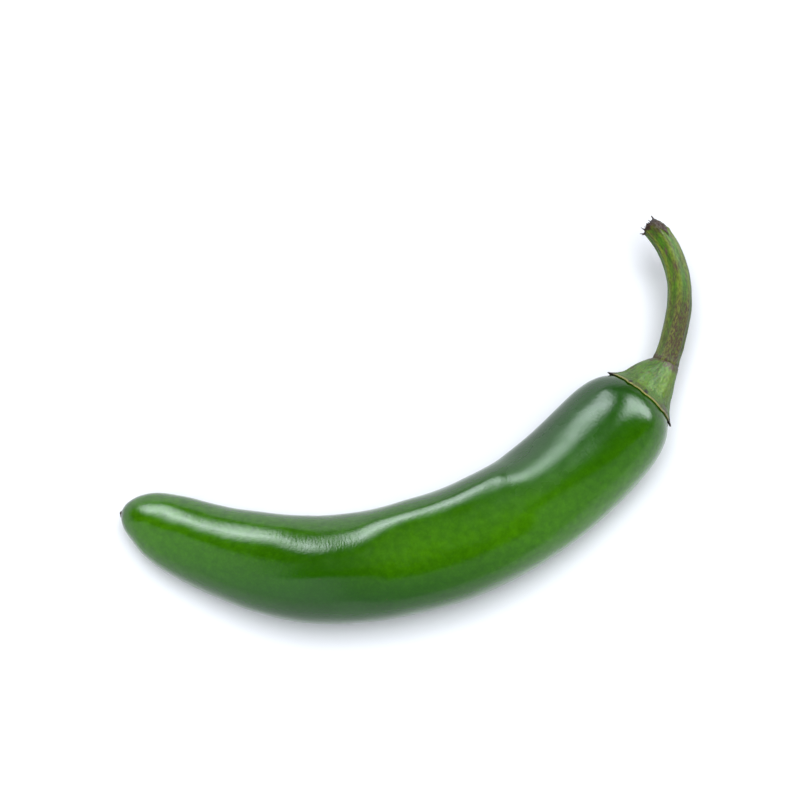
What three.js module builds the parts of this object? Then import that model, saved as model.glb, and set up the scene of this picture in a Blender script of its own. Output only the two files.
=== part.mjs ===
// A fresh green chilli pepper, lying on its side on a flat surface, as picked.
// Millimetres, +Z up. The origin is on the surface, under the middle of the whole pepper.
// The pod's tip is at -X, its belly bulges towards -Y, and the stalk runs up towards +Y.
import * as THREE from "three";

// Spines, as rows of x, y, z and radius. Each is the control polygon of a smooth curve, so the
// curve starts and ends on its first and last row and passes close to the others.
// A first or last row that repeats a place with another radius makes a rounded end.
const POD_SPINE = [
  [-50.9, -16.3, 5.6, 0],
  [-50.9, -16.3, 5.6, 2.3],
  [-45.9, -17.1, 6.2, 6.1],
  [-37.1, -22.4, 7.0, 7.5],
  [-19.8, -27.2, 9.9, 9.5],
  [-7.4, -26.8, 9.5, 9.6],
  [7.4, -23.0, 9.9, 10.3],
  [21.1, -16.6, 10.3, 9.6],
  [33.8, -5.4, 9.2, 10.1],
  [42.4, 5.2, 9.8, 9.0],
  [42.4, 5.2, 9.8, 0],
];
const BELL_SPINE = [
  [42.1, 5.1, 9.9, 5.1],
  [43.5, 7.0, 10.0, 4.4],
  [44.7, 8.5, 10.1, 3.6],
  [45.8, 10.1, 10.2, 2.5],
];
const STALK_SPINE = [
  [45.9, 10.4, 10.2, 2.3],
  [46.6, 12.2, 10.4, 2.25],
  [48.0, 16.7, 11.1, 2.2],
  [48.9, 23.2, 12.3, 2.15],
  [47.3, 30.0, 13.0, 2.0],
  [44.8, 33.7, 13.2, 2.1],
  [42.8, 34.8, 13.2, 1.6],
];

// The pod's low relief: lobes that are deepest at the shoulder, and dents pressed in here and there.
const LOBES = 3;
const LOBE_DEPTH = 0.022; // share of the radius
const LOBE_TWIST = 2.2; // radians from the tip to the shoulder
const LOBE_START = 0.5; // radians
const DENTS = [
  // share along the pod, turn in degrees, depth, half length and half width in millimetres
  { share: 0.63, turn: 150, depth: 0.35, long: 5, wide: 5 },
  { share: 0.36, turn: 95, depth: 0.2, long: 8, wide: 4 },
  { share: 0.25, turn: 20, depth: 0.3, long: 7, wide: 6 },
  { share: 0.78, turn: 60, depth: 0.2, long: 7, wide: 4 },
];

// The calyx: a thin brim on the pod's shoulder, with small teeth, and a ribbed bell up to the stalk.
const GAP = 0.3; // clearance between touching pieces
const BRIM_RADIUS = 6.5;
const BRIM_THICK = 0.6;
const TEETH = [
  // turn in degrees, and in millimetres how far it reaches past the brim, and its half width
  { turn: 0, reach: 0.8, wide: 0.9 },
  { turn: 50, reach: 0.5, wide: 0.8 },
  { turn: 87, reach: 0.5, wide: 0.8 },
  { turn: 118, reach: 0.5, wide: 0.8 },
  { turn: 180, reach: 0.5, wide: 0.9 },
  { turn: 236, reach: 0.9, wide: 0.9 },
  { turn: 302, reach: 0.8, wide: 0.9 },
];
const COLLAR_RADIUS = 2.5;
const BELL_SHARES = [0, 0.35, 0.7]; // where along the bell its skin is shaped, below the collar
const BELL_RIBS = 7;
const BELL_RIB_DEPTH = 0.025; // share of the radius

// The stalk's ribs, and its torn end.
const STALK_RIBS = 5;
const STALK_RIB_DEPTH = 0.05; // share of the radius
const TEAR_HEIGHT = 0.7;
const TEAR_LENGTH = 0.1; // share of the stalk
const TEAR_TURN = 1; // radians to the torn end's highest point
const TEAR_POINTS = 3;
const PITH_DEPTH = 0.6;

// How finely each piece is faceted: points round a ring, and rings along it.
const POD_FACETS = { sides: 44, rings: 60 };
const CALYX_FACETS = { sides: 70, brim: 5, rings: 10 };
const STALK_FACETS = { sides: 25, rings: 34 };

const UP = new THREE.Vector3(0, 0, 1);
const FULL_TURN = 2 * Math.PI;
const STEP = 0.002; // share between the two points that give a direction
const FINE_STEP = 0.00002; // share that a place on the shoulder is found to
const SHOULDER_SHARE = 0.85; // where the pod is widest before it closes under the calyx

const clamp = THREE.MathUtils.clamp;
const radians = THREE.MathUtils.degToRad;
const bell = (x) => Math.exp(-x * x);

// Numbers from 0 to 1 in equal steps.
const steps = (count) => Array.from({ length: count + 1 }, (_, i) => i / count);

// A clamped cubic B-spline of rows of numbers, at a share from 0 to 1 along it.
function spline(rows, share) {
  const degree = 3;
  const spans = rows.length - degree;
  const at = clamp(share, 0, 1) * spans;
  const first = Math.min(Math.floor(at), spans - 1);
  const knot = (i) => clamp(i - degree, 0, spans);
  const mixed = rows.slice(first, first + degree + 1);
  for (let level = 1; level <= degree; level++) {
    for (let j = degree; j >= level; j--) {
      const low = knot(first + j);
      const high = knot(first + j + 1 + degree - level);
      const weight = (at - low) / (high - low);
      mixed[j] = mixed[j].map((value, k) => (1 - weight) * mixed[j - 1][k] + weight * value);
    }
  }
  return mixed[degree];
}

// The centre, radius and three directions of a spine's cross-section: along it, to its side, and over it.
function section(spine, share) {
  const [x, y, z, radius] = spline(spine, share);
  const before = spline(spine, share - STEP);
  const after = spline(spine, share + STEP);
  const ahead = new THREE.Vector3(after[0], after[1], after[2]);
  const along = ahead.sub(new THREE.Vector3(before[0], before[1], before[2])).normalize();
  const side = new THREE.Vector3().crossVectors(along, UP).normalize();
  const over = new THREE.Vector3().crossVectors(side, along);
  return { centre: new THREE.Vector3(x, y, z), radius, along, side, over };
}

// A point at a turn round a section, from its side (0) over its top (a quarter turn).
function onRing({ centre, side, over }, radius, turn) {
  return centre
    .clone()
    .addScaledVector(side, radius * Math.cos(turn))
    .addScaledVector(over, radius * Math.sin(turn));
}

// The shortest way round from one turn to another, in radians.
function turnBetween(from, to) {
  return Math.atan2(Math.sin(to - from), Math.cos(to - from));
}

// One closed skin over rings of points, each given as a function of the turn, between two poles.
function skin(startPole, rings, endPole, sides) {
  const points = [startPole];
  for (const ring of rings) {
    for (let i = 0; i < sides; i++) points.push(ring((i / sides) * FULL_TURN));
  }
  points.push(endPole);
  const faces = [];
  const at = (ring, i) => 1 + ring * sides + (i % sides);
  const last = rings.length - 1;
  for (let i = 0; i < sides; i++) {
    faces.push(0, at(0, i), at(0, i + 1));
    faces.push(points.length - 1, at(last, i + 1), at(last, i));
    for (let r = 0; r < last; r++) {
      faces.push(at(r, i), at(r + 1, i + 1), at(r, i + 1));
      faces.push(at(r, i), at(r + 1, i), at(r + 1, i + 1));
    }
  }
  const geometry = new THREE.BufferGeometry().setFromPoints(points);
  geometry.setIndex(faces);
  geometry.computeVertexNormals();
  return geometry;
}

// The pod's own length along its bend, and its largest radius.
const podCentres = steps(POD_FACETS.rings).map((share) => section(POD_SPINE, share).centre);
const podLength = new THREE.CatmullRomCurve3(podCentres).getLength();
const podGirth = Math.max(...POD_SPINE.map(([, , , radius]) => radius));

// The pod's radius at a turn, with its lobes and dents. Dents are shallower where the pod is thin.
function podRadius(radius, share, turn) {
  const lobe = LOBE_DEPTH * share * Math.cos(LOBES * turn + LOBE_START + LOBE_TWIST * share);
  let pressed = 0;
  for (const dent of DENTS) {
    const away = (share - dent.share) * podLength;
    const round = turnBetween(radians(dent.turn), turn) * radius;
    pressed += dent.depth * bell(away / dent.long) * bell(round / dent.wide);
  }
  return radius * (1 + lobe - pressed / podGirth);
}

// The pod's skin. Where it would reach below the surface it lies flat on it.
function podPoint(share, turn) {
  const ring = section(POD_SPINE, share);
  const point = onRing(ring, podRadius(ring.radius, share, turn), turn);
  point.z = Math.max(point.z, 0);
  return point;
}

// The way out of the pod's skin.
function podNormal(share, turn) {
  if (share >= 1) return section(POD_SPINE, 1).along;
  const on = podPoint(share, turn);
  const up = podPoint(Math.min(share + STEP, 1), turn).sub(on);
  const round = podPoint(share, turn + STEP).sub(on);
  return up.cross(round).normalize();
}

function offPod(share, turn, distance) {
  return podPoint(share, turn).addScaledVector(podNormal(share, turn), distance);
}

function podGeometry() {
  const shares = steps(POD_FACETS.rings).slice(1, -1);
  return skin(
    podPoint(0, 0),
    shares.map((share) => (turn) => podPoint(share, turn)),
    podPoint(1, 0),
    POD_FACETS.sides,
  );
}

// Where the pod's shoulder has narrowed to a radius, as a share of the pod, found by halving.
function shoulderShare(radius) {
  let low = SHOULDER_SHARE;
  let high = 1;
  while (high - low > FINE_STEP) {
    const middle = (low + high) / 2;
    if (section(POD_SPINE, middle).radius > radius) low = middle;
    else high = middle;
  }
  return low;
}

// Where the brim's edge lies at a turn, with its teeth, as a share of the pod.
function brimShare(turn) {
  let reach = 0;
  for (const tooth of TEETH) {
    const round = turnBetween(radians(tooth.turn), turn) * BRIM_RADIUS;
    reach = Math.max(reach, tooth.reach * bell(round / tooth.wide));
  }
  return shoulderShare(BRIM_RADIUS + reach);
}

function bellPoint(share, turn) {
  const ring = section(BELL_SPINE, share);
  const rib = 1 + BELL_RIB_DEPTH * (1 - share) * Math.cos(BELL_RIBS * turn);
  return onRing(ring, ring.radius * rib, turn);
}

// The ring where the calyx ends, level with the stalk's foot and just clear of it.
function collar() {
  const foot = section(STALK_SPINE, 0);
  foot.centre.addScaledVector(foot.along, -GAP);
  return foot;
}

// The calyx's outer skin, from the brim's edge (0) over the shoulder and up the bell (1).
function calyxOutside(share, turn) {
  const edge = brimShare(turn);
  const rows = [
    offPod(edge, turn, GAP + BRIM_THICK),
    offPod((edge + shoulderShare(BELL_SPINE[0][3])) / 2, turn, GAP + BRIM_THICK),
    ...BELL_SHARES.map((part) => bellPoint(part, turn)),
    onRing(collar(), COLLAR_RADIUS, turn),
  ];
  return new THREE.Vector3(...spline(rows.map((row) => row.toArray()), share));
}

// The calyx's inner skin, which follows the pod from the brim's edge (0) to the pod's end (1).
function calyxInside(share, turn) {
  const edge = brimShare(turn);
  return offPod(edge + (1 - edge) * share, turn, GAP);
}

function calyxGeometry() {
  const { sides, brim, rings } = CALYX_FACETS;
  const inside = steps(brim).slice(0, -1).reverse();
  return skin(
    calyxInside(1, 0),
    [
      ...inside.map((share) => (turn) => calyxInside(share, turn)),
      ...steps(rings).map((share) => (turn) => calyxOutside(share, turn)),
    ],
    collar().centre,
    sides,
  );
}

// The stalk's skin, with its ribs. Near the torn end some of it reaches further than the rest.
function stalkPoint(share, turn) {
  const ring = section(STALK_SPINE, share);
  const rib = 1 + STALK_RIB_DEPTH * Math.cos(STALK_RIBS * turn + share);
  const points = TEAR_HEIGHT * Math.cos(turn - TEAR_TURN) * Math.cos(TEAR_POINTS * turn);
  const torn = points * bell((1 - share) / TEAR_LENGTH);
  return onRing(ring, ring.radius * rib, turn).addScaledVector(ring.along, torn);
}

function stalkGeometry() {
  const end = section(STALK_SPINE, 1);
  return skin(
    section(STALK_SPINE, 0).centre,
    steps(STALK_FACETS.rings).map((share) => (turn) => stalkPoint(share, turn)),
    end.centre.addScaledVector(end.along, -PITH_DEPTH),
    STALK_FACETS.sides,
  );
}

function piece(name, geometry, color, roughness) {
  const material = new THREE.MeshStandardMaterial({ color, roughness, metalness: 0 });
  const mesh = new THREE.Mesh(geometry, material);
  mesh.name = name;
  return mesh;
}

const pepper = new THREE.Group();
pepper.add(piece("pod", podGeometry(), 0x2f6b0e, 0.25));
pepper.add(piece("calyx", calyxGeometry(), 0x5d8a34, 0.6));
pepper.add(piece("stalk", stalkGeometry(), 0x64803a, 0.65));

export default pepper;
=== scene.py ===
"""The looks of a fresh green chilli pepper that lies on its side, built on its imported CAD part.

The pod, the calyx and the stalk are modelled again over their CAD solids, with the relief, the dry
spots and the torn edges that a grown thing has, and they stand in a small white studio.
Sizes in the tables and properties called millimetres are millimetres; every mesh is in metres.
"""

import math
from collections import namedtuple
from functools import lru_cache
from random import Random

import bmesh
import bpy
from mathutils import Matrix, Vector, noise


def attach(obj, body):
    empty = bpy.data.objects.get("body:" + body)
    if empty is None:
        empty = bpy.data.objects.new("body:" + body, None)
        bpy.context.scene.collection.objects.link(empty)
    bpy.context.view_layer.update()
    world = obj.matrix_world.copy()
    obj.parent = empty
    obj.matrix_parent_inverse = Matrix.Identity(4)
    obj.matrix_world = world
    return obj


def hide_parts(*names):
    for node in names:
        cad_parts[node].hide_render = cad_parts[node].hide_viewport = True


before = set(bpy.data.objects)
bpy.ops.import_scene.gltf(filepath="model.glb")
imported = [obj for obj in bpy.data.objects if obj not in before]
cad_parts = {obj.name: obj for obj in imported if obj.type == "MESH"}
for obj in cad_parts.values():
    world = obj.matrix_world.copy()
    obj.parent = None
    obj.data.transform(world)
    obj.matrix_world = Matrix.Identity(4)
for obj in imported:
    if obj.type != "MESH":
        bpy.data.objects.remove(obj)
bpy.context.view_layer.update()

bl_info = {
    "name": "Chilli Pepper",
    "version": (1, 0, 0),
    "blender": (4, 5, 0),
    "location": "View3D > Sidebar > Pepper",
    "description": "Builds a fresh green chilli pepper and the studio round it",
    "category": "Object",
}

MM = 0.001
UP = Vector((0, 0, 1))

# The CAD part's own spines and low relief, as rows of x, y, z and radius in millimetres.
POD_SPINE = (
    (-50.9, -16.3, 5.6, 0),
    (-50.9, -16.3, 5.6, 2.3),
    (-45.9, -17.1, 6.2, 6.1),
    (-37.1, -22.4, 7.0, 7.5),
    (-19.8, -27.2, 9.9, 9.5),
    (-7.4, -26.8, 9.5, 9.6),
    (7.4, -23.0, 9.9, 10.3),
    (21.1, -16.6, 10.3, 9.6),
    (33.8, -5.4, 9.2, 10.1),
    (42.4, 5.2, 9.8, 9.0),
    (42.4, 5.2, 9.8, 0),
)
BELL_SPINE = (
    (42.1, 5.1, 9.9, 5.1),
    (43.5, 7.0, 10.0, 4.4),
    (44.7, 8.5, 10.1, 3.6),
    (45.8, 10.1, 10.2, 2.5),
)
STALK_SPINE = (
    (45.9, 10.4, 10.2, 2.3),
    (46.6, 12.2, 10.4, 2.25),
    (48.0, 16.7, 11.1, 2.2),
    (48.9, 23.2, 12.3, 2.15),
    (47.3, 30.0, 13.0, 2.0),
    (44.8, 33.7, 13.2, 2.1),
    (42.8, 34.8, 13.2, 1.6),
)
POD_LENGTH = 106
POD_RADIUS = 10.3
STALK_LENGTH = 26.8
BELL_LENGTH = 6.3
LOBES = 3
LOBE_TWIST = 2.2
LOBE_START = 0.5
STALK_RIBS = 7
# How many faces each skin has round it and along it.
POD_FACES = (160, 400)
CALYX_FACES = (280, 150)
STALK_FACES = (120, 300)
SCAR_FACES = (24, 16)

# The thin fibres at the stalk's torn end: turn in degrees and length.
TORN_FIBRES = (
    (10, 0.8),
    (38, 1.0),
    (75, 0.9),
    (104, 1.0),
    (128, 1.0),
    (143, 1.4),
    (156, 1.1),
    (175, 1.2),
    (215, 0.9),
    (260, 1.0),
    (310, 0.9),
)
FIBRE_SEED = 4
FIBRE_SIDES = 8
FIBRE_FOOT_RADIUS = 0.16
FIBRE_TIP_RADIUS = 0.04
FIBRE_SUNK = 0.7

# Places pressed into the pod: share along it, turn in degrees, depth, half length and half width.
DENTS = (
    (0.63, 150, 0.35, 5, 5),
    (0.36, 95, 0.2, 8, 4),
    (0.25, 20, 0.3, 7, 6),
    (0.78, 60, 0.2, 7, 4),
)
# Where the search for the shoulder starts, and small steps of a share: to find a direction, and where a
# search ends.
SHOULDER_SHARE = 0.85
STEP = 0.002
FINE_STEP = 0.00002

# How wide the pod's slow swells and its ripples are, in millimetres, and how much a ripple is stretched
# round the pod.
SWELL_WIDTHS = (9, 4.5)
RIPPLE_WIDTHS = (2.6, 1)
RIPPLE_STRETCH = 0.7
# Long waves round the pod's upper side, where the skin turns from one lobe to the next: share, turn in
# degrees to a crest, height, half length before and after. They fade away from one turn.
WAVES_TURN = 108
WAVES_REACH = 1.2
WAVES = (
    (0.45, 78, 0.42, 8, 7),
    (0.64, 78, -0.9, 16, 12),
    (0.78, 90, 0.5, 4, 7),
)
# The sharp crest in the middle of the pod: where it starts and ends (share, turn in degrees), how long
# it takes to rise and to fall, its height and half width.
CREST_START = (0.51, 123)
CREST_END = (0.735, 130)
CREST_RISE = 6
CREST_FALL = 1.5
CREST_HEIGHT = 0.12
CREST_WIDTH = 1.6
# Small pits and knots in the skin: share, turn in degrees, depth, half length and half width.
PITS = (
    (0.727, 130, 0.03, 0.9, 0.8),
    (0.717, 121, 0.04, 1.2, 1.3),
    (0.733, 122, -0.04, 1.0, 1.2),
    (0.648, 112, 0.03, 0.9, 0.6),
    (0.640, 109, -0.03, 0.7, 0.7),
    (0.700, 103, -0.03, 1.0, 0.8),
    (0.922, 129, -0.1, 1.4, 1.3),
)

# The calyx's teeth: turn in degrees, reach past the brim, half width, and lift off the pod.
TEETH = (
    (0, 0.6, 0.5, 0.3),
    (50, 0.15, 0.8, 0.05),
    (86, 0.12, 0.6, 0.05),
    (116, 0.15, 0.6, 0.05),
    (168, 0.4, 0.6, 0.3),
    (236, 0.7, 0.7, 0.1),
    (302, 0.6, 0.7, 0.1),
)
# The short teeth that have dried to knobs, and the longer ones whose tips have dried: turns in degrees.
KNOB_TURNS = (86, 116)
DRIED_TURNS = (2, 168, 236, 302)
DRIED_REACH = 0.2
KNOB_HEIGHT = 0.42
KNOB_SIZE = 0.33
VEIN_REACH = 0.16
BRIM_RADIUS = 6.5
COLLAR_RADIUS = 2.5
COLLAR_DROP = 0.3
# Brown smudges low on the calyx: turn in degrees, half width in radians, height above the brim, half
# height, strength.
SMUDGES = (
    (103, 0.2, 0.75, 0.4, 0.7),
    (38, 0.3, 0.6, 0.5, 1.2),
)
# The calyx's relief in millimetres, and how much its grain is drawn out into fibres.
SCRATCH_DEPTH = 0.1
KNOB_RISE = 0.26
GROOVE_DEPTH = 0.1
GROOVE_HEIGHT = 0.3
GROOVE_WIDTH = 0.14
COLLAR_ROLL = 0.18
CALYX_STRETCH = 0.25

# Turns in degrees of the crust beside the stalk's torn end, the side that is stained, and the side where
# the end is torn longest.
CRUST_TURN = 64
STAIN_TURN = 72
TORN_TURN = 115
STALK_SUNK = 0.9
SCAR_RADIUS = 0.62
# The stalk's relief, as shares of its radius, and how much its grain is drawn out into fibres.
RIB_HEIGHT = 0.03
FIBRE_HEIGHT = 0.024
LUMP_HEIGHT = 0.03
FOOT_SWELLING = 0.05
SPLIT_DEPTH = 0.035
STALK_STRETCH = 0.12
# The ragged edges of the brim and of the torn end: height, place in the noise and width of its bumps.
RAGGED_BRIM = ((0.12, 3, 1.1), (0.06, 9, 0.5))
RAGGED_END = ((0.35, 40, 0.7), (0.25, 50, 0.3))

# Pale, yellower patches, partly the flesh's own tone and partly painted light where the flesh seems to glow
# and bounce light falls: share, turn in degrees, half length, half width, strength.
PALE_AND_LIT_PATCHES = (
    (0.60, 96, 13, 6, 0.45),
    (0.83, 15, 20, 10, 0.85),
    (0.30, 92, 12, 7, 0.4),
    (0.12, 70, 13, 14, 0.7),
    (0.56, 82, 9, 4, 0.3),
    (0.73, 76, 9, 5, 0.4),
    (0.40, 140, 28, 5, 0.6),
)
# Where rubbing has dulled the wax: share, turn in degrees, half length and half width.
DULL_PLACE = (0.81, 114, 11, 6)
# A dry scuff on the shoulder: share, turn in degrees, half length as a share, half width in radians.
SCUFF = (0.945, 66, 0.012, 0.4)

# The zones of light that the skin mirrors: their edges in degrees round the pepper's length, from the near
# horizon over the top, then their edges along the length, from -1 to 1. Edges are where a zone starts, is
# full, starts to fade and is gone. Last, the brightness it takes and its share of that.
LIGHT_ZONES = (
    ((-200, -190, 54, 61), (-3, -2, -0.15, 0.15), "wall_brightness", 1),
    ((-200, -190, 54, 61), (-0.15, 0.15, 2, 3), "wall_brightness", 0.5),
    ((54, 61, 98, 105), (-3, -2, -0.6, -0.3), "wall_brightness", 1),
    ((124, 144, 159, 178), (-0.85, -0.6, -0.25, -0.05), "softbox_brightness", 1),
    ((141, 147, 148, 155), (-0.85, -0.6, -0.25, -0.05), "softbox_brightness", 0.6),
    ((104, 128, 148, 168), (0.1, 0.35, 0.92, 1), "softbox_brightness", 1.2),
)

# The slightly blue white of the walls and the softboxes.
COOL_WHITE = (0.88, 0.95, 1.02)
# The large lights that the skin does not mirror: name, turn in degrees from the near horizon over the top,
# distance and size in metres.
LIGHTS = (
    ("overhead", 94, 0.8, 0.55),
    ("front", 25, 0.9, 0.9),
)
FLOOR_HALF = 3
CAMERA_LENS = 100
# Where the camera looks, in millimetres.
CAMERA_AIM = (-0.55, 2.95, 8)

# Inputs and the output of a Mix node that mixes colours.
MIX_FACTOR = 0
MIX_A = 6
MIX_B = 7
MIX_COLOUR = 2

Ring = namedtuple("Ring", "centre radius along side over")
Spot = namedtuple("Spot", "point grain traits")


def linear(hex_colour):
    """The linear values of an sRGB hex colour."""
    channels = [int(hex_colour[i : i + 2], 16) / 255 for i in (1, 3, 5)]
    return tuple(c / 12.92 if c <= 0.04045 else ((c + 0.055) / 1.055) ** 2.4 for c in channels)


def hump(x):
    """A smooth hump, 1 at 0 and close to 0 past 2."""
    return math.exp(-x * x)


def flat_hump(x):
    """Like a hump, but flatter on top and steeper at its sides."""
    return math.exp(-(x**4))


def blend_up(x, low, high):
    """Rises smoothly from 0 at low to 1 at high."""
    t = min(max((x - low) / (high - low), 0), 1)
    return t * t * (3 - 2 * t)


def turn_between(start, end):
    """The shortest way round from one turn to another, in radians."""
    return math.atan2(math.sin(end - start), math.cos(end - start))


def near_turn(way, turn, reach):
    """How close a turn is to one in degrees, from 0 to 1, with its half width in radians."""
    return hump(turn_between(math.radians(way), turn) / reach)


def grow(point, size):
    """Smooth noise from about -1 to 1 that repeats no pattern, with features of that size."""
    return noise.noise(point / size)


def spline(rows, share):
    """A clamped cubic B-spline of rows of numbers, at a share from 0 to 1 along it."""
    degree = 3
    spans = len(rows) - degree
    at = min(max(share, 0), 1) * spans
    first = min(int(at), spans - 1)
    mixed = [list(row) for row in rows[first : first + degree + 1]]
    for level in range(1, degree + 1):
        for j in range(degree, level - 1, -1):
            low = min(max(first + j - degree, 0), spans)
            high = min(max(first + j + 1 - level, 0), spans)
            weight = (at - low) / (high - low)
            mixed[j] = [(1 - weight) * a + weight * b for a, b in zip(mixed[j - 1], mixed[j])]
    return mixed[degree]


@lru_cache(maxsize=None)
def ring_at(spine, share):
    """A spine's cross-section: its centre, its radius, and the ways along, to the side and over."""
    x, y, z, radius = spline(spine, share)
    after = Vector(spline(spine, share + STEP)[:3])
    before = Vector(spline(spine, share - STEP)[:3])
    along = (after - before).normalized()
    side = along.cross(UP).normalized()
    return Ring(Vector((x, y, z)), radius, along, side, side.cross(along))


def on_ring(ring, radius, turn):
    """A point at a turn round a section, from its side (0) over its top (a quarter turn)."""
    return ring.centre + ring.side * (radius * math.cos(turn)) + ring.over * (radius * math.sin(turn))


def unbent(radius, turn, along):
    """Where a point would be if its piece were straight: what grain and fibres follow."""
    return Vector((radius * math.cos(turn), radius * math.sin(turn), along))


def ragged_at(rows, radius, turn):
    """How far a ragged edge stands out at a turn, in millimetres."""
    return sum(height * grow(unbent(radius, turn, along), wide) for height, along, wide in rows)


def near_place(place, way, long, wide, share, turn, radius):
    """How close a spot on the pod is, from 0 to 1, to a place with that half length and half width."""
    away = (share - place) * POD_LENGTH / long
    across = turn_between(math.radians(way), turn) * radius / wide
    return hump(away) * hump(across)


def pressed_at(places, share, turn, radius):
    """How deep the skin is pressed in by a table of places, in millimetres."""
    return sum(
        depth * near_place(place, way, long, wide, share, turn, radius)
        for place, way, depth, long, wide in places
    )


def crest_at(share, turn, radius):
    """How far the sharp crest stands out, in millimetres."""
    passed = (share - CREST_START[0]) / (CREST_END[0] - CREST_START[0])
    way = math.radians(CREST_START[1] + (CREST_END[1] - CREST_START[1]) * passed)
    risen = blend_up((share - CREST_START[0]) * POD_LENGTH / CREST_RISE, 0, 1)
    left = blend_up((CREST_END[0] - share) * POD_LENGTH / CREST_FALL, -0.5, 0.5)
    return CREST_HEIGHT * risen * left * hump(turn_between(way, turn) * radius / CREST_WIDTH)


def pod_relief(share, turn, radius):
    """How far the skin stands out, in millimetres: waves, slow swells, and fine ripples across the pod."""
    straight = unbent(radius, turn, share * POD_LENGTH)
    stretched = Vector((straight.x * RIPPLE_STRETCH, straight.y * RIPPLE_STRETCH, straight.z))
    wide, narrow = SWELL_WIDTHS
    swell = sizes().swell * (grow(straight, wide) + 0.5 * grow(straight + Vector((7, 3, 5)), narrow))
    wide, narrow = RIPPLE_WIDTHS
    ripple = sizes().ripple * (grow(stretched + Vector((2, 9, 4)), wide) + 0.2 * grow(stretched, narrow))
    wave = crest_at(share, turn, radius) - pressed_at(PITS, share, turn, radius)
    for place, way, height, before, after in WAVES:
        away = (share - place) * POD_LENGTH
        near = flat_hump(away / (before if away < 0 else after))
        upper = near_turn(WAVES_TURN, turn, WAVES_REACH)
        wave += height * near * upper * math.cos(LOBES * (turn - math.radians(way)))
    return ((swell + ripple) / MM + wave) * min(radius / 4, 1)


def pod_point(share, turn):
    """The pod's skin. Where it would reach below the surface it lies flat on it."""
    ring = ring_at(POD_SPINE, share)
    lobe = sizes().lobe_depth * share * math.cos(LOBES * turn + LOBE_START + LOBE_TWIST * share)
    pressed = pressed_at(DENTS, share, turn, ring.radius)
    radius = ring.radius * (1 + lobe - pressed / POD_RADIUS)
    point = on_ring(ring, radius + pod_relief(share, turn, ring.radius), turn)
    point.z = max(point.z, 0)
    return point


def off_pod(share, turn, distance):
    """A point at a distance outside the pod's skin."""
    if share >= 1:
        return pod_point(1, turn) + ring_at(POD_SPINE, 1).along * distance
    on = pod_point(share, turn)
    ahead = pod_point(min(share + STEP, 1), turn) - on
    beside = pod_point(share, turn + STEP) - on
    return on + ahead.cross(beside).normalized() * distance


@lru_cache(maxsize=None)
def shoulder_share(radius):
    """Where the pod's shoulder has narrowed to a radius, as a share of the pod, found by halving."""
    low, high = SHOULDER_SHARE, 1
    while high - low > FINE_STEP:
        middle = (low + high) / 2
        if ring_at(POD_SPINE, middle).radius > radius:
            low = middle
        else:
            high = middle
    return low


def tooth_at(turn):
    """How far the brim reaches out at a turn, and how far it lifts off the pod."""
    reach, lift = 0, 0
    for way, length, wide, raised in TEETH:
        near = hump(turn_between(math.radians(way), turn) * BRIM_RADIUS / wide)
        reach = max(reach, length * near)
        lift = max(lift, raised * near)
    return reach, lift


@lru_cache(maxsize=None)
def collar():
    """The ring where the calyx ends, just below the stalk's foot."""
    foot = ring_at(STALK_SPINE, 0)
    return foot._replace(centre=foot.centre - foot.along * COLLAR_DROP)


def side_tooth(turn):
    """How close a turn is to one of the teeth whose tips have dried."""
    return max(near_turn(way, turn, DRIED_REACH) for way in DRIED_TURNS)


def knob_at(turn, height):
    """The small dry knobs that are left of the short teeth, just above the brim."""
    knobs = [0]
    for way in KNOB_TURNS:
        across = turn_between(math.radians(way), turn) * BRIM_RADIUS
        knobs.append(hump(math.hypot(across, height - KNOB_HEIGHT) / KNOB_SIZE))
    return max(knobs)


def vein_at(turn):
    """How much of a vein runs up the calyx at a turn: one starts at each tooth."""
    return max(near_turn(tooth[0], turn, VEIN_REACH) for tooth in TEETH)


@lru_cache(maxsize=None)
def calyx_rows(turn):
    """The calyx's outer skin at a turn, as rows from the brim's edge over the shoulder to the collar."""
    reach, lift = tooth_at(turn)
    ragged = ragged_at(RAGGED_BRIM, BRIM_RADIUS, turn)
    edge = shoulder_share(round(BRIM_RADIUS + reach + ragged, 3))
    gap = sizes().brim_gap / MM + lift
    thick = sizes().brim_thickness / MM
    half_way = (edge + shoulder_share(BELL_SPINE[0][3])) / 2
    rows = [off_pod(edge, turn, gap + thick), off_pod(half_way, turn, gap / 2 + thick + 0.1)]
    for part in (0, 0.35, 0.7):
        ring = ring_at(BELL_SPINE, part)
        rows.append(on_ring(ring, ring.radius * (1 + 0.06 * (1 - part) * (vein_at(turn) - 0.4)), turn))
    rows.append(on_ring(collar(), COLLAR_RADIUS, turn))
    return edge, gap, thick, [tuple(row) for row in rows]


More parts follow.
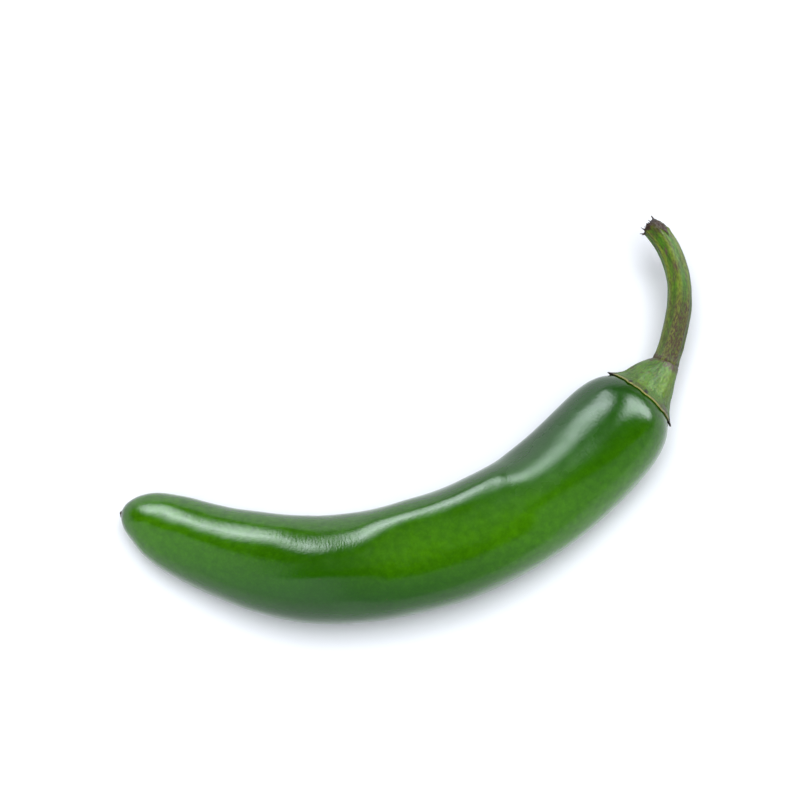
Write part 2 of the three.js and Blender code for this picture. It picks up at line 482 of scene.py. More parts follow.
def calyx_spot(share, turn):
    """The calyx's skin: up the inside, round the brim's lip, over the outside and in at the collar."""
    inside_end, lip_end, collar_start = 0.18, 0.24, 0.93
    edge, gap, thick, rows = calyx_rows(round(turn, 5))
    rim = dry = stain = 0
    if share < inside_end:
        part = share / inside_end
        point = off_pod(1 - (1 - edge) * part, turn, gap * part + 0.02)
        grain = unbent(BRIM_RADIUS * part, turn, -1)
        rim = blend_up(part, 0.8, 1)
    elif share < lip_end:
        angle = (share - inside_end) / (lip_end - inside_end) * math.pi
        on_edge = pod_point(edge, turn)
        outward = (pod_point(edge - STEP, turn) - on_edge).normalized()
        height = gap + thick * (1 - math.cos(angle)) / 2
        point = off_pod(edge, turn, height) + outward * (thick * 0.6 * math.sin(angle))
        grain = unbent(BRIM_RADIUS, turn, thick * angle / math.pi)
        rim = 1
    elif share < collar_start:
        part = (share - lip_end) / (collar_start - lip_end)
        part = part * (0.35 + 0.65 * part)
        point = Vector(spline(rows, part))
        grain = unbent(BRIM_RADIUS * (1 - 0.6 * part), turn, BELL_LENGTH * part)
        fibres = Vector((grain.x, grain.y, grain.z * CALYX_STRETCH))
        away = (point - ring_at(BELL_SPINE, part).centre).normalized()
        wrinkle = 0.06 * grow(fibres, 0.5) + 0.1 * grow(grain, 1.6) + 0.04 * grow(grain, 0.4)
        scratch = hump(grow(grain + Vector((3, 1, 8)), 1.1) / 0.035) * blend_up(grow(grain, 2.3), 0.1, 0.4)
        height = part * BELL_LENGTH
        knob = knob_at(turn, height)
        raised = (wrinkle - SCRATCH_DEPTH * scratch) * blend_up(part, 0, 0.1) + KNOB_RISE * knob
        point += away * (raised - GROOVE_DEPTH * hump((height - GROOVE_HEIGHT) / GROOVE_WIDTH))
        rim = 1 - blend_up(height, 0, 0.12)
        dry = min(2.2 * knob, 1)
        # Brown scratches, and a darker band along the groove just above the brim, which is painted shade.
        stain = 0.9 * scratch + 0.7 * hump((height - 0.25) / 0.12)
    else:
        part = (share - collar_start) / (1 - collar_start)
        ring = collar()
        radius = COLLAR_RADIUS * (1 - part)
        roll = COLLAR_ROLL * math.sin(min(part * 4, 1) * math.pi)
        point = on_ring(ring, radius, turn) + ring.along * roll
        grain = unbent(radius, turn, BELL_LENGTH + 0.3)
    height_up = max(grain.z, 0)
    dry = max(dry, min(1.6 * side_tooth(turn) * hump(height_up / 0.5), 1))
    crease = blend_up(height_up + 0.3 * grow(grain, 0.8), 5.6, 6.1)
    smudge = sum(
        strength * near_turn(way, turn, reach) * hump((height_up - height) / half)
        for way, reach, height, half, strength in SMUDGES
    )
    pale = 0.9 * near_turn(45, turn, 0.45) * blend_up(height_up, 1.5, 3.4)
    pale += 0.5 * near_turn(100, turn, 0.3) * hump((height_up - 1.6) / 0.8)
    # The last trait holds brown stains, smudges and creases, and the painted shade in the groove above the
    # brim.
    return Spot(point, grain, (dry, rim, pale, max(crease, smudge, stain)))


def torn_height(turn):
    """How far the torn end's edge stands out at a turn, in millimetres."""
    return 0.5 * near_turn(TORN_TURN, turn, 0.8) - 0.5 + ragged_at(RAGGED_END, 2, turn)


def stalk_spot(share, turn):
    """The stalk's skin: in from the collar, up its ribbed side, and in over its torn end."""
    foot_end, side_end = 0.05, 0.9
    if share < foot_end:
        part = share / foot_end
        ring = ring_at(STALK_SPINE, 0)
        point = on_ring(ring, ring.radius * 0.97 * part, turn) - ring.along * STALK_SUNK
        return Spot(point, unbent(ring.radius * part, turn, -STALK_SUNK), (0, 0, 1, 0))
    part = min((share - foot_end) / (side_end - foot_end), 1)
    ring = ring_at(STALK_SPINE, part)
    straight = unbent(ring.radius, turn, part * STALK_LENGTH)
    fibres = Vector((straight.x, straight.y, straight.z * STALK_STRETCH))
    ridge = math.cos(STALK_RIBS * turn + 1.3 * part + 0.8 * grow(straight, 5))
    rib = RIB_HEIGHT * ridge + FIBRE_HEIGHT * grow(fibres, 0.42) + LUMP_HEIGHT * grow(straight, 2.2)
    to_end = (1 - part) * STALK_LENGTH
    threads = Vector((straight.x, straight.y, straight.z * 0.08))
    split = hump(grow(threads + Vector((5, 2, 1)), 0.9) / 0.07)
    split *= blend_up(grow(straight, 2.6), -0.35, 0.25)
    split *= max(blend_up(part, 0.62, 0.8), 0.8 * (1 - blend_up(part, 0.04, 0.16)), 0.35)
    swollen = FOOT_SWELLING * hump(part / 0.03) - SPLIT_DEPTH * split
    crust_side = near_turn(CRUST_TURN, turn, 1)
    ragged = to_end + 1.3 * grow(fibres, 0.6)
    crust = crust_side * (1 - blend_up(ragged, 2.8, 3.5))
    crust += (1 - crust_side) * (1 - blend_up(ragged, 0.2, 0.7))
    radius = ring.radius * (1 + rib + swollen)
    radius += 0.2 * crust * crust_side * (1 + 1.2 * grow(straight, 0.6))
    torn = torn_height(turn) * hump(to_end / 1.1)
    inward = max(share - side_end, 0) / (1 - side_end)
    sunk = 0.55 * blend_up(inward, 0.05, 0.45) + 0.12 * grow(unbent(3 * (1 - inward), turn, 70), 0.5)
    point = on_ring(ring, radius * (1 - inward), turn)
    point += ring.along * (torn * (1 - inward) ** 0.5 - (sunk if inward else 0))
    if part == 0:
        point -= ring.along * STALK_SUNK
    dry = max(hump((to_end + 0.25 * grow(straight, 0.5)) / 0.5), blend_up(inward, 0, 0.15), 0.75 * split)
    zone = (1 - blend_up(part, 0.34, 0.56)) + 0.5 * hump((part - 0.66) / 0.05)
    facing = near_turn(STAIN_TURN, turn, 1.35)
    foot = 1 - blend_up(part + 0.03 * grow(straight, 0.9), 0.0, 0.07)
    return Spot(point, straight, (dry, max(zone * facing, foot), 0.5 + 0.5 * ridge, crust))


def pod_spot(share, turn):
    """The pod's skin, with its pale patches (partly painted light), its dull patch, its dry tip and the
    scuff on its shoulder.
    """
    ring = ring_at(POD_SPINE, share)
    pale = 0
    for place, way, long, wide, strength in PALE_AND_LIT_PATCHES:
        pale += strength * near_place(place, way, long, wide, share, turn, ring.radius)
    dull = near_place(*DULL_PLACE, share, turn, ring.radius)
    grain = unbent(ring.radius, turn, share * POD_LENGTH)
    if share < 0.5:
        dry = hump(ring.radius / 1.6)
    else:
        place, way, long, wide = SCUFF
        near = hump((share - place) / long) * near_turn(way, turn, wide)
        dry = 0.6 * near * blend_up(grow(grain, 0.5), 0.1, 0.5)
    return Spot(pod_point(share, turn), grain, (pale, dry, dull))


def scar_spot(share, turn):
    """The dry stub that the flower left on the pod's tip."""
    tip = ring_at(POD_SPINE, 0)
    lumpy = 1 + 0.35 * grow(unbent(1, turn, share * 3), 0.8)
    point = on_ring(tip, SCAR_RADIUS * lumpy * math.sin(share * math.pi), turn)
    point += tip.along * (0.3 - 0.55 * (1 + math.cos(share * math.pi)) / 2 * lumpy)
    return Spot(point, unbent(1, turn, share), (1,))


def closed_skin(faces, place, traits):
    """A closed mesh from a UV sphere whose points go where place says, for their share from the first
    pole to the last and their turn. Each keeps its unbent place and its traits for the materials."""
    around, along = faces
    mesh = bmesh.new()
    bmesh.ops.create_uvsphere(mesh, u_segments=around, v_segments=along, radius=1)
    grain = mesh.verts.layers.float_vector.new("grain")
    layers = [mesh.verts.layers.float.new(trait) for trait in traits]
    for vertex in mesh.verts:
        share = round(math.acos(min(max(-vertex.co.z, -1), 1)) / math.pi * along) / along
        spot = place(share, math.atan2(vertex.co.y, vertex.co.x))
        vertex.co = spot.point * MM
        vertex[grain] = spot.grain * MM
        for layer, value in zip(layers, spot.traits):
            vertex[layer] = value
    bmesh.ops.recalc_face_normals(mesh, faces=mesh.faces)
    return mesh


def add_piece(name, mesh, material, replaced=None):
    """Makes a finished piece of a mesh, which rides on the part and may stand for a CAD node."""
    for face in mesh.faces:
        face.smooth = True
    data = bpy.data.meshes.new(name)
    mesh.to_mesh(data)
    mesh.free()
    data.materials.append(material)
    piece = bpy.data.objects.new(name, data)
    bpy.context.scene.collection.objects.link(piece)
    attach(piece, "root")
    if replaced:
        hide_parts(replaced)
    return piece


def add_node(tree, kind, inputs=None, **settings):
    """Adds one node with its settings, and sets each input to a value or links it to a socket."""
    node = tree.nodes.new(kind)
    for name, value in settings.items():
        setattr(node, name, value)
    for name, value in (inputs or {}).items():
        if isinstance(value, bpy.types.NodeSocket):
            tree.links.new(value, node.inputs[name])
        else:
            node.inputs[name].default_value = value
    return node


def start_material(name):
    """A new material with only its output, and its node tree."""
    material = bpy.data.materials.new(name)
    material.use_nodes = True
    tree = material.node_tree
    tree.nodes.clear()
    return material, tree


def per(size):
    """The texture scale that gives features of a size in millimetres."""
    return 1 / (size * MM)


def waxy_skin():
    """Fresh chilli skin: a thin waxy cuticle, grown smooth over dark green flesh. The eye sees a clear gloss
    with soft edges, a slightly uneven green, paler yellow-green patches that are partly painted light, and
    tiny pores."""
    look = colours()
    material, tree = start_material("waxy_cuticle_grown")
    place = add_node(tree, "ShaderNodeTexCoord").outputs["Object"]
    grain = add_node(tree, "ShaderNodeAttribute", attribute_name="grain").outputs["Vector"]
    pale, dry, dull = (
        add_node(tree, "ShaderNodeAttribute", attribute_name=name).outputs["Fac"]
        for name in ("pale", "dry", "dull")
    )
    clouds = add_node(tree, "ShaderNodeTexNoise", {"Vector": place, "Scale": per(9), "Detail": 4})
    mottle = add_node(tree, "ShaderNodeTexNoise", {"Vector": place, "Scale": per(1.3), "Detail": 4})
    cells = add_node(tree, "ShaderNodeTexVoronoi", {"Vector": place, "Scale": per(0.45)})
    pores = add_node(tree, "ShaderNodeTexVoronoi", {"Vector": place, "Scale": per(3.1)})
    green = add_node(
        tree,
        "ShaderNodeMix",
        {MIX_FACTOR: clouds.outputs["Fac"], MIX_A: (*look.pod_deep, 1), MIX_B: (*look.pod_green, 1)},
        data_type="RGBA",
    )
    uneven = add_node(
        tree,
        "ShaderNodeMapRange",
        {"Value": mottle.outputs["Fac"], "From Min": 0.3, "From Max": 0.7, "To Min": 0.65, "To Max": 1.1},
    )
    # The pale patches mix in a yellower green: partly the flesh's own tone and partly painted light, where
    # the flesh seems to glow and bounce light falls.
    patch = add_node(
        tree, "ShaderNodeMath", {0: pale, 1: uneven.outputs["Result"]}, operation="MULTIPLY", use_clamp=True
    )
    pale_and_lit_mix = add_node(
        tree,
        "ShaderNodeMix",
        {MIX_FACTOR: patch.outputs[0], MIX_A: green.outputs[MIX_COLOUR], MIX_B: (*look.pod_pale_and_lit, 1)},
        data_type="RGBA",
    )
    shade = add_node(
        tree,
        "ShaderNodeMapRange",
        {"Value": cells.outputs["Distance"], "From Max": 0.6, "To Min": 1.06, "To Max": 0.9},
    )
    celled = add_node(
        tree,
        "ShaderNodeVectorMath",
        {0: pale_and_lit_mix.outputs[MIX_COLOUR], "Scale": shade.outputs["Result"]},
        operation="SCALE",
    )
    pore = add_node(
        tree,
        "ShaderNodeMapRange",
        {"Value": pores.outputs[0], "From Min": 0.02, "From Max": 0.045, "To Min": 0.55, "To Max": 0},
    )
    colour = celled.outputs[0]
    for part, tint in ((pore.outputs["Result"], look.stalk_brown), (dry, look.dry_brown)):
        tinted = add_node(
            tree,
            "ShaderNodeMix",
            {MIX_FACTOR: part, MIX_A: colour, MIX_B: (*tint, 1)},
            data_type="RGBA",
        )
        colour = tinted.outputs[MIX_COLOUR]
    bloom = add_node(tree, "ShaderNodeTexNoise", {"Vector": grain, "Scale": per(2.4), "Detail": 5})
    rough = add_node(
        tree,
        "ShaderNodeMapRange",
        {"Value": bloom.outputs["Fac"], "From Min": 0.3, "From Max": 0.7, "To Min": 0.12, "To Max": 0.2},
    )
    dulled = add_node(
        tree,
        "ShaderNodeMath",
        {0: dull, 1: 0.2, 2: rough.outputs["Result"]},
        operation="MULTIPLY_ADD",
    )
    across = add_node(tree, "ShaderNodeMapping", {"Vector": grain, "Scale": (0.5, 0.5, 1)}).outputs[0]
    peel = add_node(tree, "ShaderNodeTexNoise", {"Vector": across, "Scale": per(0.38), "Detail": 2})
    peel_bump = add_node(tree, "ShaderNodeBump", {"Distance": 0.026 * MM, "Height": peel.outputs["Fac"]})
    cell_bump = add_node(
        tree,
        "ShaderNodeBump",
        {"Distance": 0.003 * MM, "Height": cells.outputs["Distance"], "Normal": peel_bump.outputs[0]},
    )
    skin = add_node(
        tree,
        "ShaderNodeBsdfPrincipled",
        {
            "Base Color": colour,
            "Roughness": dulled.outputs[0],
            "Normal": cell_bump.outputs[0],
            "IOR": 1.4,
        },
    )
    add_node(tree, "ShaderNodeOutputMaterial", {"Surface": skin.outputs[0]})
    return material


def calyx_tissue():
    """The calyx: leafy tissue, grown as a thin ribbed cup. The eye sees a matt green with pale veins, a thin
    yellow edge, brown stains with a line of painted shade in the groove above the brim, and teeth that have
    dried brown."""
    look = colours()
    material, tree = start_material("leafy_tissue_grown")
    grain = add_node(tree, "ShaderNodeAttribute", attribute_name="grain").outputs["Vector"]
    dry, rim, pale, stain = (
        add_node(tree, "ShaderNodeAttribute", attribute_name=name).outputs["Fac"]
        for name in ("dry", "rim", "pale", "stain")
    )
    along = add_node(tree, "ShaderNodeMapping", {"Vector": grain, "Scale": (1, 1, CALYX_STRETCH)}).outputs[0]
    clouds = add_node(tree, "ShaderNodeTexNoise", {"Vector": grain, "Scale": per(1.5), "Detail": 5})
    fibres = add_node(tree, "ShaderNodeTexNoise", {"Vector": along, "Scale": per(0.3), "Detail": 4})
    grit = add_node(tree, "ShaderNodeTexNoise", {"Vector": grain, "Scale": per(0.4), "Detail": 5})
    spread = add_node(
        tree,
        "ShaderNodeMapRange",
        {"Value": clouds.outputs["Fac"], "From Min": 0.35, "From Max": 0.65},
    )
    green = add_node(
        tree,
        "ShaderNodeMix",
        {MIX_FACTOR: spread.outputs["Result"], MIX_A: (*look.calyx_deep, 1), MIX_B: (*look.calyx_green, 1)},
        data_type="RGBA",
    )
    thread = add_node(
        tree,
        "ShaderNodeMapRange",
        {"Value": fibres.outputs["Fac"], "From Min": 0.45, "From Max": 0.72, "To Min": 0, "To Max": 0.7},
    )
    pale_part = add_node(
        tree,
        "ShaderNodeMath",
        {0: pale, 1: 0.55, 2: thread.outputs["Result"]},
        operation="MULTIPLY_ADD",
        use_clamp=True,
    )
    fleck = add_node(
        tree,
        "ShaderNodeMapRange",
        {"Value": grit.outputs["Fac"], "From Min": 0.5, "From Max": 0.68, "To Min": 0, "To Max": 0.5},
    )
    # The stain attribute holds brown stains and the painted shade in the groove above the brim; grit breaks
    # both up.
    stain_and_shade_grit = add_node(
        tree,
        "ShaderNodeMapRange",
        {"Value": grit.outputs["Fac"], "From Min": 0.35, "From Max": 0.6, "To Min": 0.35, "To Max": 1.1},
    )
    stained_and_shaded = add_node(
        tree,
        "ShaderNodeMath",
        {0: stain, 1: stain_and_shade_grit.outputs["Result"], 2: fleck.outputs["Result"]},
        operation="MULTIPLY_ADD",
        use_clamp=True,
    )
    colour = green.outputs[MIX_COLOUR]
    for part, tint in (
        (pale_part.outputs[0], look.calyx_pale),
        (rim, look.rim_yellow),
        (stained_and_shaded.outputs[0], look.stalk_brown),
        (dry, look.dry_brown),
    ):
        tinted = add_node(
            tree,
            "ShaderNodeMix",
            {MIX_FACTOR: part, MIX_A: colour, MIX_B: (*tint, 1)},
            data_type="RGBA",
        )
        colour = tinted.outputs[MIX_COLOUR]
    grit_bump = add_node(tree, "ShaderNodeBump", {"Distance": 0.05 * MM, "Height": grit.outputs["Fac"]})
    fibre_bump = add_node(
        tree,
        "ShaderNodeBump",
        {"Distance": 0.06 * MM, "Height": fibres.outputs["Fac"], "Normal": grit_bump.outputs[0]},
    )
    tissue = add_node(
        tree,
        "ShaderNodeBsdfPrincipled",
        {
            "Base Color": colour,
            "Roughness": 0.45,
            "Normal": fibre_bump.outputs[0],
            "Specular IOR Level": 0.25,
        },
    )
    add_node(tree, "ShaderNodeOutputMaterial", {"Surface": tissue.outputs[0]})
    return material


def stalk_tissue():
    """The stalk: woody green tissue with long fibres, grown. The eye sees matt ribs, streaks of pale
    yellow green and dull brown that run along it, and a torn end that has dried."""
    look = colours()
    material, tree = start_material("fibrous_stalk_grown")
    grain = add_node(tree, "ShaderNodeAttribute", attribute_name="grain").outputs["Vector"]
    dry, dark, ridge, crust = (
        add_node(tree, "ShaderNodeAttribute", attribute_name=name).outputs["Fac"]
        for name in ("dry", "dark", "ridge", "crust")
    )
    along, netted = (
        add_node(tree, "ShaderNodeMapping", {"Vector": grain, "Scale": (1, 1, stretch)}).outputs[0]
        for stretch in (STALK_STRETCH, 0.4)
    )
    fibres = add_node(tree, "ShaderNodeTexNoise", {"Vector": along, "Scale": per(0.28), "Detail": 5})
    streaks = add_node(tree, "ShaderNodeTexNoise", {"Vector": along, "Scale": per(0.8), "Detail": 4})
    mottle = add_node(tree, "ShaderNodeTexNoise", {"Vector": netted, "Scale": per(0.5), "Detail": 6})
    clouds = add_node(tree, "ShaderNodeTexNoise", {"Vector": netted, "Scale": per(1.9), "Detail": 3})
    paleness = add_node(
        tree,
        "ShaderNodeMath",
        {0: ridge, 1: 0.7, 2: streaks.outputs["Fac"]},
        operation="MULTIPLY_ADD",
    )
    spread = add_node(
        tree,
        "ShaderNodeMapRange",
        {"Value": paleness.outputs[0], "From Min": 0.55, "From Max": 1.15},
    )
    green = add_node(
        tree,
        "ShaderNodeMix",
        {MIX_FACTOR: spread.outputs["Result"], MIX_A: (*look.stalk_green, 1), MIX_B: (*look.stalk_pale, 1)},
        data_type="RGBA",
    )
    net = add_node(tree, "ShaderNodeTexNoise", {"Vector": netted, "Scale": per(0.24), "Detail": 4})
    net_part = add_node(
        tree,
        "ShaderNodeMapRange",
        {"Value": net.outputs["Fac"], "From Min": 0.38, "From Max": 0.58, "To Min": 0.5, "To Max": 1.2},
    )
    patchy = add_node(
        tree,
        "ShaderNodeMapRange",
        {"Value": mottle.outputs["Fac"], "From Min": 0.35, "From Max": 0.55, "To Min": 0.6, "To Max": 1},
    )
    stain = add_node(
        tree,
        "ShaderNodeMath",
        {0: net_part.outputs["Result"], 1: patchy.outputs["Result"]},
        operation="MULTIPLY",
    )
    stain_part = add_node(tree, "ShaderNodeMath", {0: stain.outputs[0], 1: dark}, operation="MULTIPLY")
    line = add_node(
        tree,
        "ShaderNodeMath",
        {0: clouds.outputs["Fac"], 1: 0.5, 2: fibres.outputs["Fac"]},
        operation="MULTIPLY_ADD",
    )
    line_part = add_node(
        tree,
        "ShaderNodeMapRange",
        {"Value": line.outputs[0], "From Min": 0.82, "From Max": 0.96, "To Min": 0, "To Max": 0.95},
    )
    brown_part = add_node(
        tree,
        "ShaderNodeMath",
        {0: stain_part.outputs[0], 1: line_part.outputs["Result"]},
        operation="MAXIMUM",
    )
    colour = green.outputs[MIX_COLOUR]
    for part, tint in (
        (brown_part.outputs[0], look.stalk_brown),
        (crust, look.crust_brown),
        (dry, look.dry_brown),
    ):
        tinted = add_node(
            tree,
            "ShaderNodeMix",
            {MIX_FACTOR: part, MIX_A: colour, MIX_B: (*tint, 1)},
            data_type="RGBA",
        )
        colour = tinted.outputs[MIX_COLOUR]
    shade = add_node(
        tree,
        "ShaderNodeMapRange",
        {"Value": net.outputs["Fac"], "From Min": 0.3, "From Max": 0.7, "To Min": 1.45, "To Max": 0.6},
    )
    shaded = add_node(
        tree,
        "ShaderNodeVectorMath",
        {0: colour, "Scale": shade.outputs["Result"]},
        operation="SCALE",
    )
    mottle_bump = add_node(tree, "ShaderNodeBump", {"Distance": 0.08 * MM, "Height": mottle.outputs["Fac"]})
    fibre_bump = add_node(
        tree,
        "ShaderNodeBump",
        {"Distance": 0.1 * MM, "Height": fibres.outputs["Fac"], "Normal": mottle_bump.outputs[0]},
    )
    tissue = add_node(
        tree,
        "ShaderNodeBsdfPrincipled",
        {
            "Base Color": shaded.outputs[0],
            "Roughness": 0.5,
            "Normal": fibre_bump.outputs[0],
            "Specular IOR Level": 0.25,
        },
    )
    add_node(tree, "ShaderNodeOutputMaterial", {"Surface": tissue.outputs[0]})
    return material


def dry_crust():
    """Dried plant tissue, torn and weathered: dull, dark reddish brown and rough."""
    look = colours()
    material, tree = start_material("dried_tissue_torn")
    place = add_node(tree, "ShaderNodeTexCoord").outputs["Object"]
    grit = add_node(tree, "ShaderNodeTexNoise", {"Vector": place, "Scale": per(0.3), "Detail": 4})
    brown = add_node(
        tree,
        "ShaderNodeMix",
        {MIX_FACTOR: grit.outputs["Fac"], MIX_A: (*look.dry_brown, 1), MIX_B: (*look.stalk_brown, 1)},
        data_type="RGBA",
    )
    grit_bump = add_node(tree, "ShaderNodeBump", {"Distance": 0.06 * MM, "Height": grit.outputs["Fac"]})
    crust = add_node(
        tree,
        "ShaderNodeBsdfPrincipled",
        {
            "Base Color": brown.outputs[MIX_COLOUR],
            "Roughness": 0.8,
            "Normal": grit_bump.outputs[0],
            "IOR": 1.4,
        },
    )
    add_node(tree, "ShaderNodeOutputMaterial", {"Surface": crust.outputs[0]})
    return material


def lit_acrylic():
    """The studio's table: matt white acrylic sheet, cast, and softly lit from below."""
    material, tree = start_material("white_acrylic_cast")
    place = add_node(tree, "ShaderNodeTexCoord").outputs["Object"]
    haze = add_node(tree, "ShaderNodeTexNoise", {"Vector": place, "Scale": per(40), "Detail": 3})
    white = add_node(
        tree,
        "ShaderNodeMix",
        {MIX_FACTOR: haze.outputs["Fac"], MIX_A: (0.86, 0.89, 0.96, 1), MIX_B: (0.88, 0.91, 0.98, 1)},
        data_type="RGBA",
    )
    acrylic = add_node(
        tree,
        "ShaderNodeBsdfPrincipled",
        {
            "Base Color": white.outputs[MIX_COLOUR],
            "Roughness": 0.8,
            "Specular IOR Level": 0.2,
            "Emission Color": (1, 1, 1, 1),
            "Emission Strength": bpy.context.scene.pepper_studio.table_glow,
        },
    )
    add_node(tree, "ShaderNodeOutputMaterial", {"Surface": acrylic.outputs[0]})
    return material


def hex_colour(name, description, value):
    """A colour property whose default is an sRGB hex value."""
    return bpy.props.FloatVectorProperty(
        name=name, description=description, subtype="COLOR", size=3, min=0, max=1, default=linear(value)
    )


def length(name, description, value):
    """A length property whose default is in millimetres."""
    return bpy.props.FloatProperty(
        name=name, description=description, unit="LENGTH", precision=5, default=value * MM
    )


class PepperSizes(bpy.types.PropertyGroup):
    """Sizes of the pepper's surface that the CAD part leaves open."""

    lobe_depth: bpy.props.FloatProperty(
        name="Lobe depth",
        description="How deep the pod's lobes are, as a share of its radius",
        subtype="FACTOR",
        min=0,
        max=0.1,
        default=0.022,
    )
    swell: length("Swell", "Height of the pod's slow swells", 0.11)
    ripple: length("Ripple", "Height of the fine ripples across the pod", 0.014)
    brim_gap: length("Brim gap", "How far the calyx's brim stands off the pod", 0.1)
    brim_thickness: length("Brim thickness", "Thickness of the calyx's brim", 0.22)


class PepperColours(bpy.types.PropertyGroup):
    """Colours of the pepper's skins and dry parts."""

    pod_deep: hex_colour("Pod deep green", "The darker green of the pod", "#0F3B00")
    pod_green: hex_colour("Pod green", "The lighter green of the pod", "#195100")
    # The yellower green of the pale patches, which are partly painted light.
    pod_pale_and_lit: hex_colour("Pod pale green", "The yellower green of the pod's pale patches", "#458300")
    calyx_deep: hex_colour("Calyx deep green", "The darker green of the calyx", "#2D540A")
    calyx_green: hex_colour("Calyx green", "The lighter green of the calyx", "#49780A")
    calyx_pale: hex_colour("Calyx pale green", "The pale veins of the calyx", "#708C26")
    rim_yellow: hex_colour("Rim yellow", "The thin edge of the calyx's brim", "#989650")
    stalk_green: hex_colour("Stalk green", "The green of the stalk", "#3B6507")
    stalk_pale: hex_colour("Stalk pale green", "The pale ribs of the stalk", "#64761F")
    # Also tints the calyx's stains and paints the shade in the calyx's groove above the brim.
    stalk_brown: hex_colour("Stalk brown", "The dull brown stains of the stalk", "#4C3C2F")
    crust_brown: hex_colour("Crust brown", "The dried crust at the stalk's torn end", "#311F14")
    dry_brown: hex_colour("Dry brown", "The torn and dried parts", "#251A16")


class PepperStudio(bpy.types.PropertyGroup):
    """The light and the camera of the studio round the pepper."""

    wall_brightness: bpy.props.FloatProperty(
        name="Wall brightness", description="Brightness of the white walls", min=0, max=5, default=1.25
    )
    softbox_brightness: bpy.props.FloatProperty(
        name="Softbox brightness", description="Brightness of the softboxes", min=0, max=50, default=11.5
    )
    overhead_power: bpy.props.FloatProperty(
        name="Overhead power", description="Power of the light above the table", unit="POWER", default=7.9
    )
    front_power: bpy.props.FloatProperty(
        name="Front power", description="Power of the light before the table", unit="POWER", default=4.1
    )
    table_glow: bpy.props.FloatProperty(
        name="Table glow", description="Light that the white table gives off", min=0, max=5, default=0.04
    )
    camera_elevation: bpy.props.FloatProperty(
        name="Camera elevation",
        description="How far above level the camera looks from",
        subtype="ANGLE",
        default=math.radians(78),
    )
    camera_distance: length("Camera distance", "From the camera to the pepper", 401.8)


def sizes():
    """The scene's own sizes of the pepper."""
    return bpy.context.scene.pepper_sizes


def colours():
    """The scene's own colours of the pepper."""
    return bpy.context.scene.pepper_colours


class PEPPER_OT_pod(bpy.types.Operator):
    """Models the pod's glossy skin with its lobes, dents and ripples"""

    bl_idname = "pepper.pod"
    bl_label = "Pod"

    def execute(self, context):
        mesh = closed_skin(POD_FACES, pod_spot, ("pale", "dry", "dull"))
        add_piece("pod_wax_skin", mesh, waxy_skin(), "pod")
        return {"FINISHED"}


class PEPPER_OT_tip_scar(bpy.types.Operator):
    """Models the dry stub on the pod's tip"""

    bl_idname = "pepper.tip_scar"
    bl_label = "Tip scar"

    def execute(self, context):
        mesh = closed_skin(SCAR_FACES, scar_spot, ("dry",))
        add_piece("tip_scar", mesh, dry_crust())
        return {"FINISHED"}


class PEPPER_OT_calyx(bpy.types.Operator):
    """Models the calyx with its thin brim, dry teeth and veins"""

    bl_idname = "pepper.calyx"
    bl_label = "Calyx"

    def execute(self, context):
        mesh = closed_skin(CALYX_FACES, calyx_spot, ("dry", "rim", "pale", "stain"))
        add_piece("calyx_cup", mesh, calyx_tissue(), "calyx")
        return {"FINISHED"}


class PEPPER_OT_stalk(bpy.types.Operator):
    """Models the stalk with its ribs, fibres and torn end"""

    bl_idname = "pepper.stalk"
    bl_label = "Stalk"

    def execute(self, context):
        mesh = closed_skin(STALK_FACES, stalk_spot, ("dry", "dark", "ridge", "crust"))
        add_piece("stalk_stem", mesh, stalk_tissue(), "stalk")
        return {"FINISHED"}


class PEPPER_OT_torn_fibres(bpy.types.Operator):
    """Models the thin dry fibres that stick out of the stalk's torn end"""

    bl_idname = "pepper.torn_fibres"
    bl_label = "Torn fibres"

    def execute(self, context):
        mesh = bmesh.new()
        end = ring_at(STALK_SPINE, 1)
        random = Random(FIBRE_SEED)
        for way, length_out in TORN_FIBRES:
            foot = on_ring(end, end.radius * 0.93, math.radians(way)) - end.along * FIBRE_SUNK
            outward = (foot - end.centre).normalized() * random.uniform(0.1, 0.5)
            askew = end.over.cross(end.along) * random.uniform(-0.4, 0.4)
            aim = (end.along + outward + askew).normalized()
            middle = (foot + aim * length_out / 2) * MM
            bmesh.ops.create_cone(
                mesh,
                cap_ends=True,
                segments=FIBRE_SIDES,
                radius1=FIBRE_FOOT_RADIUS * MM,
                radius2=FIBRE_TIP_RADIUS * MM,
                depth=length_out * MM,
                matrix=Matrix.Translation(middle) @ aim.to_track_quat("Z", "Y").to_matrix().to_4x4(),
            )
        add_piece("torn_fibres", mesh, dry_crust())
        return {"FINISHED"}


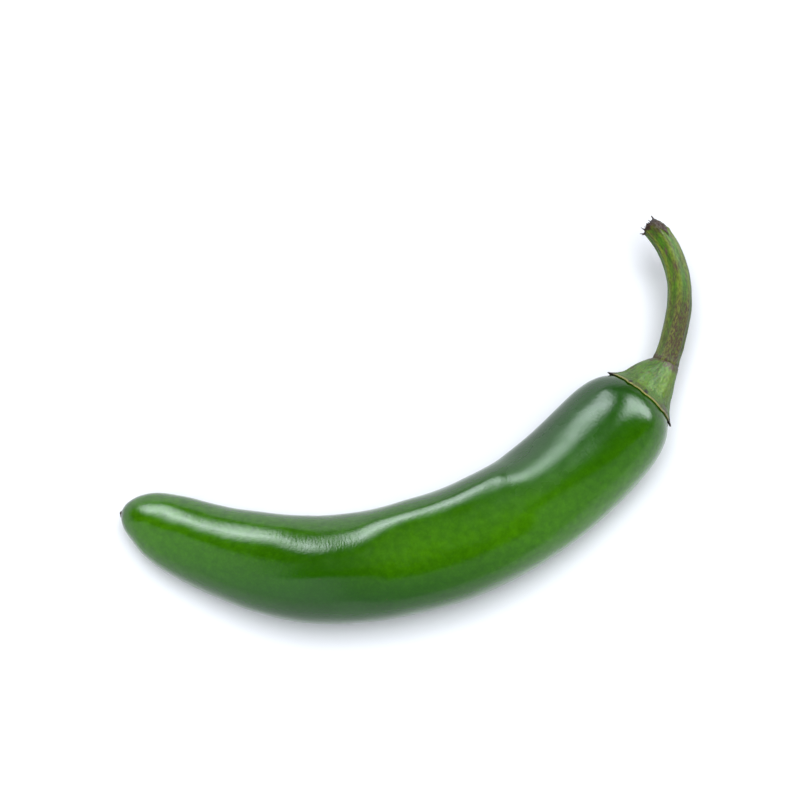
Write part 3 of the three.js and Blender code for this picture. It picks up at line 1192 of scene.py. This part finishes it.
class PEPPER_OT_studio(bpy.types.Operator):
    """Sets up the white floor, the walls, the lights and the camera"""

    bl_idname = "pepper.studio"
    bl_label = "Studio"

    def execute(self, context):
        look = context.scene.pepper_studio
        floor = bmesh.new()
        bmesh.ops.create_grid(floor, x_segments=1, y_segments=1, size=FLOOR_HALF)
        data = bpy.data.meshes.new("floor")
        floor.to_mesh(data)
        floor.free()
        data.materials.append(lit_acrylic())
        stage = bpy.data.objects.new("floor", data)
        context.scene.collection.objects.link(stage)
        self.add_walls(context.scene, look)
        for light in LIGHTS:
            self.add_light(context.scene, *light, getattr(look, light[0] + "_power"))
        self.add_camera(context.scene, look)
        context.scene.view_settings.view_transform = "Standard"
        return {"FINISHED"}

    def add_walls(self, scene, look):
        """White walls on the near side, a dark ceiling, and softboxes on the far side, which light only
        what the skins mirror. The camera sees a plain white backdrop."""
        world = bpy.data.worlds.new("studio")
        world.use_nodes = True
        tree = world.node_tree
        tree.nodes.clear()
        way = add_node(tree, "ShaderNodeTexCoord").outputs["Generated"]
        x, y, z = add_node(tree, "ShaderNodeSeparateXYZ", {0: way}).outputs
        near = add_node(tree, "ShaderNodeMath", {0: y, 1: -1}, operation="MULTIPLY").outputs[0]
        angle = add_node(tree, "ShaderNodeMath", {0: z, 1: near}, operation="ARCTAN2").outputs[0]
        over = add_node(tree, "ShaderNodeMath", {0: angle}, operation="DEGREES").outputs[0]
        total = 0
        for over_edges, length_edges, source, share in LIGHT_ZONES:
            level = getattr(look, source) * share
            for value, (start, full, fading, gone) in ((over, over_edges), (x, length_edges)):
                for dark, bright in ((start, full), (gone, fading)):
                    edge = add_node(
                        tree,
                        "ShaderNodeMapRange",
                        {"Value": value, "From Min": dark, "From Max": bright, "To Max": level},
                        interpolation_type="SMOOTHSTEP",
                    )
                    level = edge.outputs[0]
            total = add_node(tree, "ShaderNodeMath", {0: total, 1: level}, operation="ADD").outputs[0]
        seen = add_node(tree, "ShaderNodeLightPath").outputs["Is Camera Ray"]
        light = add_node(tree, "ShaderNodeBackground", {"Color": (*COOL_WHITE, 1), "Strength": total})
        plain = add_node(tree, "ShaderNodeBackground", {"Color": (1, 1, 1, 1), "Strength": 1})
        shown = add_node(tree, "ShaderNodeMixShader", {0: seen, 1: light.outputs[0], 2: plain.outputs[0]})
        add_node(tree, "ShaderNodeOutputWorld", {"Surface": shown.outputs[0]})
        scene.world = world
        world.cycles_visibility.diffuse = False

    def add_light(self, scene, name, turn, distance, size, power):
        """A large square light, at a turn in degrees from the near horizon over the top. The skin shows
        no mirror image of it."""
        data = bpy.data.lights.new(name, "AREA")
        data.shape = "SQUARE"
        data.size = size
        data.energy = power
        light = bpy.data.objects.new(name, data)
        angle = math.radians(turn)
        light.location = (0, -math.cos(angle) * distance, math.sin(angle) * distance)
        light.rotation_euler = (math.radians(90) - angle, 0, 0)
        light.visible_glossy = False
        light.visible_camera = False
        scene.collection.objects.link(light)

    def add_camera(self, scene, look):
        """The camera, at the photograph's angle to the pepper."""
        camera = bpy.data.cameras.new("camera")
        camera.lens = CAMERA_LENS
        camera.sensor_width = 36
        camera.clip_start = 0.01
        eye = bpy.data.objects.new("camera", camera)
        elevation = look.camera_elevation
        away = Vector((0, -math.cos(elevation), math.sin(elevation)))
        eye.location = Vector(CAMERA_AIM) * MM + away * look.camera_distance
        eye.rotation_euler = (math.radians(90) - elevation, 0, 0)
        scene.collection.objects.link(eye)
        scene.camera = eye


class PEPPER_PT_panel(bpy.types.Panel):
    """Lists the pepper's pieces and the studio"""

    bl_label = "Chilli Pepper"
    bl_idname = "PEPPER_PT_panel"
    bl_space_type = "VIEW_3D"
    bl_region_type = "UI"
    bl_category = "Pepper"

    def draw(self, context):
        for step in BUILD_STEPS:
            self.layout.operator(step.bl_idname)
        for group in (sizes(), colours(), context.scene.pepper_studio):
            box = self.layout.box()
            for name in group.__annotations__:
                box.prop(group, name)


BUILD_STEPS = (
    PEPPER_OT_pod,
    PEPPER_OT_tip_scar,
    PEPPER_OT_calyx,
    PEPPER_OT_stalk,
    PEPPER_OT_torn_fibres,
    PEPPER_OT_studio,
)
CLASSES = (PepperSizes, PepperColours, PepperStudio, *BUILD_STEPS, PEPPER_PT_panel)


def register():
    for kind in CLASSES:
        bpy.utils.register_class(kind)
    bpy.types.Scene.pepper_sizes = bpy.props.PointerProperty(type=PepperSizes)
    bpy.types.Scene.pepper_colours = bpy.props.PointerProperty(type=PepperColours)
    bpy.types.Scene.pepper_studio = bpy.props.PointerProperty(type=PepperStudio)


def unregister():
    del bpy.types.Scene.pepper_studio
    del bpy.types.Scene.pepper_colours
    del bpy.types.Scene.pepper_sizes
    for kind in reversed(CLASSES):
        bpy.utils.unregister_class(kind)


def main():
    register()
    bpy.ops.pepper.pod()
    bpy.ops.pepper.tip_scar()
    bpy.ops.pepper.calyx()
    bpy.ops.pepper.stalk()
    bpy.ops.pepper.torn_fibres()
    bpy.ops.pepper.studio()


if __name__ == "__main__":
    main()
